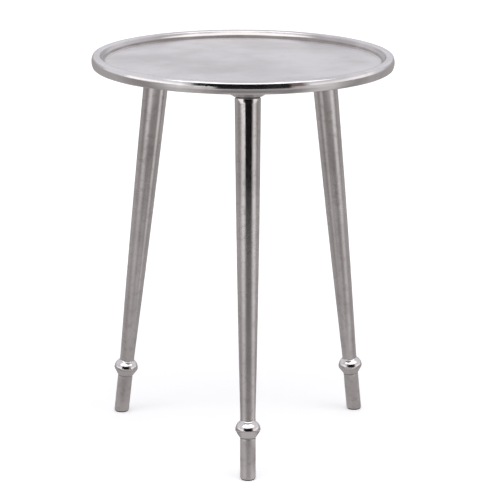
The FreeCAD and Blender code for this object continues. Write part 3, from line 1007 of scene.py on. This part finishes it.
def studio_light():
    """World light: pale walls, softboxes at each side and above, and dark flags behind the
    viewer, which polished metal needs to look like metal. The camera sees only white."""
    world = bpy.data.worlds.new("studio")
    bpy.context.scene.world = world
    world.use_nodes = True
    n = Nodes(world.node_tree)
    way = n.add("SeparateXYZ", {"Vector": n.add("TexCoord").outputs["Generated"]})
    x, y, z = way.outputs
    round_degrees = round_horizon(n, x, y)
    above_degrees = n.times(n.math("ARCSINE", z), 180 / math.pi)
    light = rgb(*WALL)
    for _, across, up, soft, brightness in STUDIO_CARDS:
        share = n.times(
            within(n, round_degrees, across, soft), within(n, above_degrees, up, soft)
        )
        light = n.mix(share, light, rgb(*brightness))
    seen = n.add("LightPath").outputs["Is Camera Ray"]
    light = n.mix(seen, light, rgb(1.0, 1.0, 1.0))
    output_surface(n, n.add("Background", {"Color": light, "Strength": 1.0}), "OutputWorld")


def floor_surface():
    """Plain white floor, open from below. Metal sees it as a dim studio floor, lighter in two
    pools, behind the table and before its foot, and dark from two metres out in front."""
    material, n = new_material("white_floor")
    place = n.add("NewGeometry").outputs["Position"]
    parts = n.add("SeparateXYZ", {"Vector": place})
    across = round_horizon(n, parts.outputs["X"], parts.outputs["Y"])
    reach = n.add("VectorMath", {0: place}, operation="LENGTH").outputs["Value"]
    pools = 0.0
    for middle, half, strength in FLOOR_POOLS:
        aside = n.math("ABSOLUTE", n.math("SUBTRACT", across, middle))
        pools = n.math("ADD", pools, n.step(aside, 0, half, low=strength, high=0.0))
    from_front = n.math("ABSOLUTE", across)
    behind = n.step(from_front, *BEHIND_FROM, high=BEHIND_ADDED)
    before_foot = n.times(
        n.step(reach, *BEFORE_ENDS, low=BEFORE_ADDED, high=0.0),
        within(n, across, BEFORE_ACROSS, BEFORE_SOFT),
    )
    further = n.times(
        n.step(reach, *FURTHER_FROM, high=FURTHER_ADDED), n.fall(from_front, *FURTHER_SIDES)
    )
    added = n.math("ADD", n.math("ADD", pools, behind), n.math("ADD", before_foot, further))
    added = n.add("CombineXYZ", {0: added, 1: added, 2: added}).outputs[0]
    reflected = n.add("VectorMath", {0: NEAR_FLOOR, 1: added}).outputs[0]
    far = n.times(n.step(reach, *DARK_FROM), within(n, across, DARK_ACROSS, DARK_SOFT))
    reflected = n.mix(far, reflected, rgb(*FAR_FLOOR))

    lit = n.add("BsdfDiffuse", {"Color": rgb(FLOOR_WHITE, FLOOR_WHITE, FLOOR_WHITE)})
    glow = n.add("Emission", {"Color": rgb(1.0, 1.0, 1.0), "Strength": FLOOR_GLOW})
    both = n.add("AddShader")
    n.tree.links.new(lit.outputs[0], both.inputs[0])
    n.tree.links.new(glow.outputs[0], both.inputs[1])
    in_metal = n.add("MixShader", {0: n.add("LightPath").outputs["Is Glossy Ray"]})
    n.tree.links.new(both.outputs[0], in_metal.inputs[1])
    n.tree.links.new(n.add("Emission", {"Color": reflected}).outputs[0], in_metal.inputs[2])
    open_below = n.add("MixShader", {0: n.add("NewGeometry").outputs["Backfacing"]})
    n.tree.links.new(in_metal.outputs[0], open_below.inputs[1])
    n.tree.links.new(n.add("BsdfTransparent").outputs[0], open_below.inputs[2])
    output_surface(n, open_below)
    return material


def make_floor():
    half = FLOOR_HALF
    corners = [(-half, -half, 0), (half, -half, 0), (half, half, 0), (-half, half, 0)]
    data = bpy.data.meshes.new("studio_floor")
    data.from_pydata(corners, [], [(0, 1, 2, 3)])
    data.materials.append(floor_surface())
    floor = bpy.data.objects.new("studio_floor", data)
    floor.location.z = -FLOOR_DROP
    bpy.context.scene.collection.objects.link(floor)


CAMERA_PLACE = (-0.1515, -3.1531, 1.0881)
CAMERA_YAW = 2.944
CAMERA_DOWN = 14.748
CAMERA_ROLL = 0.35
SENSOR_WIDTH_MM = 36.0
LENS_MM = 174.5


def make_camera():
    """Camera in front of the table and a little to its left, looking down on the tray."""
    yaw, down, roll = (math.radians(a) for a in (CAMERA_YAW, CAMERA_DOWN, CAMERA_ROLL))
    right = Vector((math.cos(yaw), -math.sin(yaw), 0))
    ahead = Vector(
        (math.sin(yaw) * math.cos(down), math.cos(yaw) * math.cos(down), -math.sin(down))
    )
    up = right.cross(ahead)
    across = right * math.cos(roll) + up * math.sin(roll)
    upright = up * math.cos(roll) - right * math.sin(roll)
    data = bpy.data.cameras.new("camera")
    data.sensor_width = SENSOR_WIDTH_MM
    data.lens = LENS_MM
    camera = bpy.data.objects.new("camera", data)
    bpy.context.scene.collection.objects.link(camera)
    turn = Matrix((across, upright, -ahead)).transposed().to_4x4()
    camera.matrix_world = Matrix.Translation(CAMERA_PLACE) @ turn
    bpy.context.scene.camera = camera


# --- everything -------------------------------------------------------------------------------

make_tray(tray_metal())
leg_finish, stud_finish, fibre_finish, glide_finish = (
    leg_metal(), stud_metal(), fibre(), glide_plastic()
)
for spot in PLACES:
    make_leg(spot, leg_finish)
    make_stud(spot, stud_finish)
    make_washer(spot, fibre_finish)
    make_glide(spot, glide_finish)

studio_light()
make_floor()
make_camera()
bpy.context.scene.view_settings.view_transform = "Standard"
